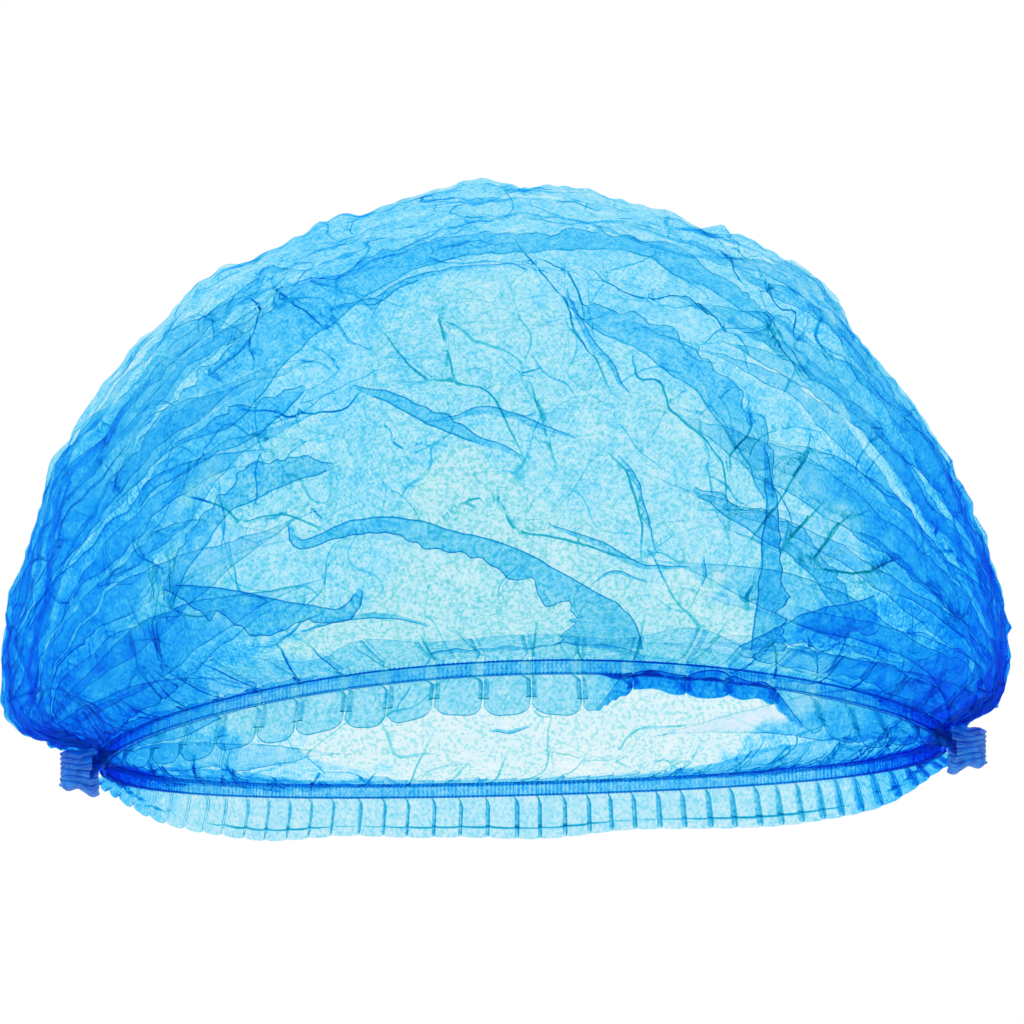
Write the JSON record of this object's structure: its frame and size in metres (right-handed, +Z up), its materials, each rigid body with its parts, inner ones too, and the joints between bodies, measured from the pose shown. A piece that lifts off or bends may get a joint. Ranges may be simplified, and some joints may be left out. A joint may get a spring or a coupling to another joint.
{
  "type": "disposable pleated bouffant hair cap",
  "caption": "Puffed hair cap of thin pleated non-woven sheet, welded at both sides, with an elastic mouth and a ruffled hem.",
  "frame": {"origin": "middle of the mouth, level with the elastic at the front and the back, where the wearer's head goes in", "axes": "+Z up through the top of the crown, -Y towards the front, +X from the left weld to the right weld, the widest way"},
  "size_m": [0.2672, 0.2383, 0.1644],
  "materials": {
    "nonwoven": "thin see-through blue spun-bonded polypropylene with a fine pattern of weld points",
    "elastic": "thin blue elastic inside a gathered channel",
    "weld": "pleats pressed and fused together, darker and slightly glossy"
  },
  "bodies": {
    "root": {"crown": "nonwoven", "elastic_front": "elastic", "elastic_back": "elastic", "ruffle_front": "nonwoven", "ruffle_back": "nonwoven", "seal_left": "weld", "seal_right": "weld"}
  },
  "joints": []
}
